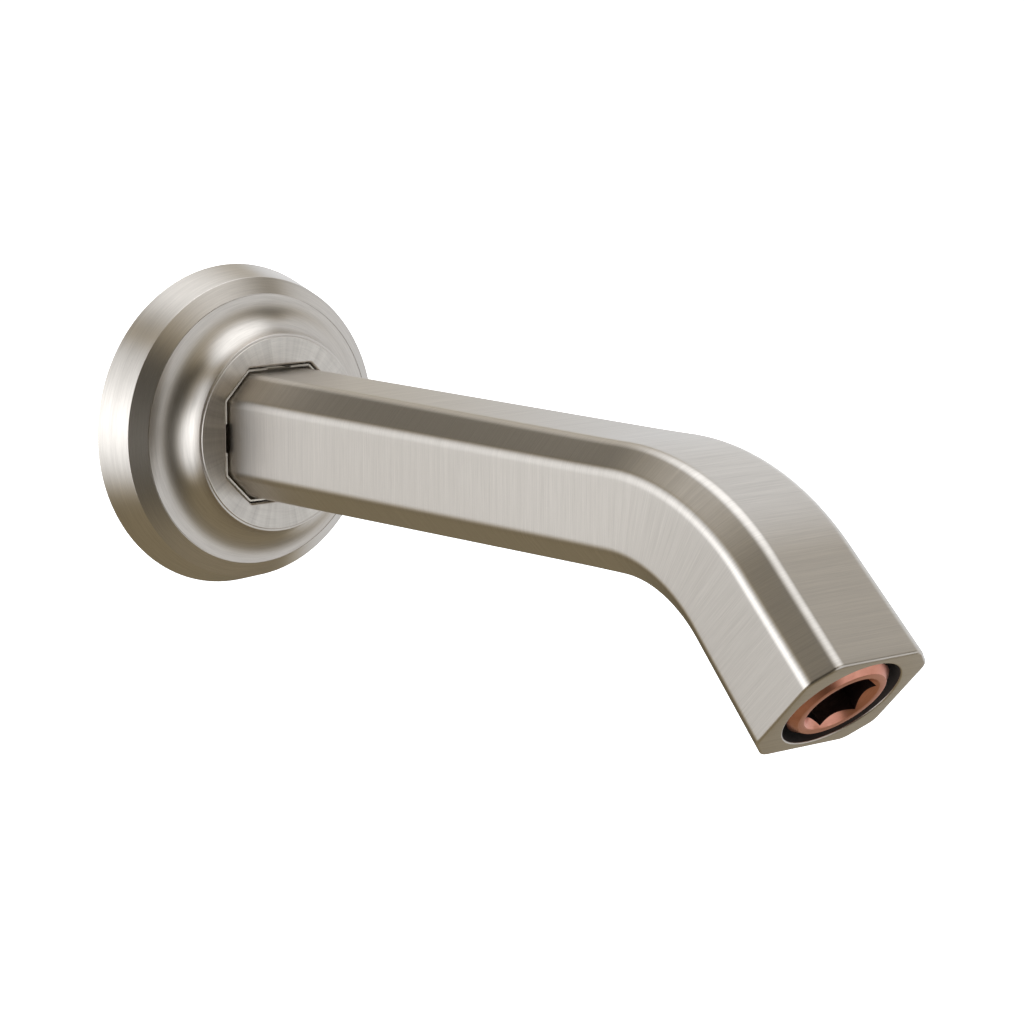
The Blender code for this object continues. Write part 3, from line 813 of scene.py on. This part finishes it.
def make_set_screw():
    """A headless screw with fine thread rings, a flat tip and a hexagon socket from below."""
    tip, end = -9.0, -13.1
    profile = [(0, tip), (0.9, tip), (1.9, tip - 1.0)]
    height = tip - 1.2
    pitch = 0.5
    while height - pitch > end + 0.3:
        profile += [(2.25, height - 0.06), (2.25, height - 0.12), (1.98, height - 0.3),
                    (1.98, height - 0.36)]
        height -= pitch
    profile += [(2.2, height - 0.05), (2.2, end + 0.25), (1.95, end), (0, end)]
    screw = turned("set_screw_body", profile, ["steel"], 64, closed=False)
    place = Matrix.Translation((0, -SCREW_DEPTH * MM, 0))
    screw.data.transform(place)
    key = prism("set_screw_key", hexagon(2.5), -20, -11, place)
    cut(screw, [key])
    stand_for(screw, "set_screw", "set_screw")


# Outlet ------------------------------------------------------------------------------------------


def at_outlet(item, node, body):
    item.matrix_world = outlet_place()
    stand_for(item, node, body)


def make_insert():
    flank = INSERT_RADIUS - INSERT_LIP_RADIUS
    floor, groove_front, groove_back = SEAL_GROOVE
    outer = [(INSERT_LIP_RADIUS, 0), (INSERT_RADIUS, -flank), (INSERT_RADIUS, -groove_front),
             (floor, -groove_front), (floor, -groove_back), (INSERT_RADIUS, -groove_back)]
    height = -12.2
    pitch = 1.0
    while height - pitch > -INSERT_LENGTH + 0.3:
        outer += [(INSERT_RADIUS, height), (INSERT_RADIUS, height - 0.12), (10.15, height - 0.45),
                  (10.15, height - 0.57), (INSERT_RADIUS, height - 0.9)]
        height -= pitch
    outer += [(INSERT_RADIUS - 0.1, -INSERT_LENGTH)]
    inner = [(INSERT_BORE, -INSERT_LENGTH), (INSERT_BORE, -NECK_DEPTH), (5.6, -NECK_DEPTH), (5.6, -1.5),
             (7.8, 0.0)]
    insert = turned("outlet_insert_body", softened(outer + inner, 0.12), ["copper", "copper_inside_painted_shade"], 160,
                    angle=40.0)
    sink_profile = [(0, 1), (8.8, 1), (4.9, -2.9), (0, -2.9)]
    sink = turned("insert_countersink", sink_profile, [], sides=150, closed=False)
    key = prism("insert_key", hexagon(HEX_FLATS), -7.0, 3.0)
    cut(insert, [sink, key], 30.0)
    hex_tip = HEX_FLATS / 2 / math.cos(math.radians(30))
    # The hexagon's walls and what lies below them take the painted shade.
    for face in insert.data.polygons:   # the hexagon's walls and all that lies below them are dark
        x, y, height = face.center / MM
        within = math.hypot(x, y) < hex_tip + 0.1
        face.material_index = int(within and (abs(face.normal.z) < 0.5 or height < -6.5))
    at_outlet(insert, "outlet_insert", "insert")


def make_outlet_inside():
    o_ring = turned("insert_o_ring_body", arc((10.15, -10.4), 0.5, 360, 30, 11), ["rubber"], 96,
                    angle=80.0)
    at_outlet(o_ring, "insert_o_ring", "insert_seal")
    seat = ring_profile(8.8, 10.6, -THREAD_BORE_DEPTH + 0.3, -INSERT_LENGTH - 0.3)
    at_outlet(turned("insert_seat_washer_body", softened(seat, 0.15), ["fibre"]), "insert_seat_washer",
              "spout")
    retainer = ring_profile(7.2, CORE_RADIUS, -INSERT_LENGTH + 0.1, -SCREEN_DEPTHS[1] - 0.3)
    at_outlet(turned("screen_retainer_body", softened(retainer, 0.12), ["steel"]), "screen_retainer",
              "insert")


def make_straightener():
    """A round core with honeycomb channels in two rings round the middle one."""
    high, low = (-depth for depth in CORE_DEPTHS)
    profile = softened([(0, high), (CORE_RADIUS, high), (CORE_RADIUS, low), (0, low)], 0.2, closed=False)
    core = turned("flow_straightener_body", profile, ["nylon"], 96, closed=False)
    pitch = 2.75
    channels = []
    for row in range(-2, 3):
        for column in range(-3, 4):
            x = (column + 0.5 * (row % 2)) * pitch
            y = row * pitch * math.sqrt(3) / 2
            if math.hypot(x, y) < 6.4:
                outline = [(x + u, y + v) for u, v in hexagon(2.2)]
                channels.append(prism("channel", outline, low - 1, high + 1))
    cut(core, channels)
    at_outlet(core, "flow_straightener", "insert")


def make_screen():
    """A rimmed disc with a fine square grid of openings."""
    high, low = (-depth for depth in SCREEN_DEPTHS)
    disc = [(0, high), (CORE_RADIUS, high), (CORE_RADIUS, low), (0, low)]
    screen = turned("straightener_screen_body", disc, ["steel"], 96, closed=False)
    pitch, half = 1.1, 0.36
    reach = range(-6, 7)
    shape = bmesh.new()
    for x, y in ((row * pitch, column * pitch) for row in reach for column in reach):
        if math.hypot(x, y) < 6.6:
            outline = [(x + half, y + half), (x - half, y + half), (x - half, y - half), (x + half, y - half)]
            add_prism(shape, outline, low - 1, high + 1)
    cut(screen, [finish_mesh("screen_openings", shape, [])])
    at_outlet(screen, "straightener_screen", "insert")


# Studio ------------------------------------------------------------------------------------------


def make_floor():
    """A pale floor well below the spout, which its metal doesn't mirror."""
    shape = bmesh.new()
    bmesh.ops.create_grid(shape, x_segments=1, y_segments=1, size=6.0)
    mesh = bpy.data.meshes.new("studio_floor")
    shape.to_mesh(mesh)
    shape.free()
    nodes = Nodes("floor_white")
    mesh.materials.append(nodes.surface(Base_Color=(0.9, 0.9, 0.9, 1.0), Roughness=0.9,
                                        Emission_Color=(1.0, 1.0, 1.0, 1.0), Emission_Strength=1.05))
    floor = bpy.data.objects.new("studio_floor", mesh)
    floor.location = (0, 0, -0.6)
    floor.visible_glossy = False
    bpy.context.scene.collection.objects.link(floor)


def direction(azimuth, elevation):
    """Unit vector: azimuth 0 is towards the front (-Y), 90 towards the left (-X); elevation is up."""
    a, e = math.radians(azimuth), math.radians(elevation)
    return Vector((-math.sin(a) * math.cos(e), -math.cos(a) * math.cos(e), math.sin(e)))


# Soft round lights of the studio: name, azimuth, elevation, radius and soft edge in degrees, and level.
STUDIO = [
    ("left_front", 92, -10, 12, 30, 1.55),
    ("left_back", 130, 4, 16, 32, 0.78),
    ("left_high", 112, 26, 12, 34, 0.82),
    ("overhead", -120, 80, 14, 34, 1.78),
    ("right", -97, 2, 35, 14, 0.80),
    ("right_back", -138, 20, 12, 28, 0.42),
    ("front", -22, -6, 27, 14, 0.84),
    ("high_front", -5, 52, 8, 30, 0.42),
    ("below", -170, -78, 33, 46, 0.22),
]
ROOM = 0.03                 # level of the room between them
DIM_COLOR, BRIGHT_COLOR = (1.10, 0.945, 0.64), (0.945, 0.995, 1.065)
DIM, BRIGHT = 0.25, 0.85    # levels between which the colour changes


def make_world():
    """White where the camera looks past the floor, and otherwise a dark room with soft round lights."""
    world = bpy.data.worlds.new("studio")
    world.use_nodes = True
    tree = world.node_tree
    tree.nodes.clear()

    def add(kind, inputs, **settings):
        node = tree.nodes.new(kind)
        for name, value in settings.items():
            setattr(node, name, value)
        for socket, value in inputs.items():
            if isinstance(value, bpy.types.NodeSocket):
                tree.links.new(value, node.inputs[socket])
            else:
                node.inputs[socket].default_value = value
        return node.outputs

    looking = add("ShaderNodeTexCoord", {})["Generated"]
    total = ROOM
    for name, azimuth, elevation, radius, edge, level in STUDIO:
        centre = tuple(direction(azimuth, elevation))
        cosine = add("ShaderNodeVectorMath", {0: looking, 1: centre}, operation="DOT_PRODUCT")["Value"]
        angle = add("ShaderNodeMath", {0: cosine}, operation="ARCCOSINE")[0]
        inner, outer = math.radians(radius), math.radians(radius + edge)
        inside = add("ShaderNodeMapRange",
                     {"Value": angle, "From Min": outer, "From Max": inner, "To Min": 0.0, "To Max": level},
                     interpolation_type="SMOOTHSTEP", label=name)["Result"]
        total = add("ShaderNodeMath", {0: total, 1: inside}, operation="ADD")[0]
    share = add("ShaderNodeMapRange", {"Value": total, "From Min": DIM, "From Max": BRIGHT})["Result"]
    color = add("ShaderNodeMix", {0: share, 6: (*DIM_COLOR, 1.0), 7: (*BRIGHT_COLOR, 1.0)},
                data_type="RGBA")[2]
    studio = add("ShaderNodeBackground", {"Color": color, "Strength": total})[0]
    white = add("ShaderNodeBackground", {"Color": (1.0, 1.0, 1.0, 1.0), "Strength": 1.1})[0]
    seen = add("ShaderNodeLightPath", {})["Is Camera Ray"]
    mixed = add("ShaderNodeMixShader", {0: seen, 1: studio, 2: white})[0]
    add("ShaderNodeOutputWorld", {"Surface": mixed})
    bpy.context.scene.world = world


def make_camera():
    """Left of and in front of the spout, a little above it."""
    azimuth, elevation = 40.28, 9.69
    distance = 0.7112
    target = Vector((-0.00388, -0.100, -0.00627))
    data = bpy.data.cameras.new("camera")
    data.sensor_width = 36.0
    data.lens = 126.6328125
    data.clip_start = 0.01
    data.clip_end = 50.0
    camera = bpy.data.objects.new("camera", data)
    camera.location = target + direction(azimuth, elevation) * distance
    bpy.context.scene.collection.objects.link(camera)
    camera.rotation_euler = (target - camera.location).to_track_quat("-Z", "Y").to_euler()
    bpy.context.scene.camera = camera


make_camera()
make_world()
make_floor()
make_arm()
make_flange()
make_centering_ring()
make_wiper_seal()
make_flange_rings()
make_shank()
make_shank_seals()
make_set_screw()
make_insert()
make_outlet_inside()
make_straightener()
make_screen()

bpy.context.scene.view_settings.view_transform = "Standard"
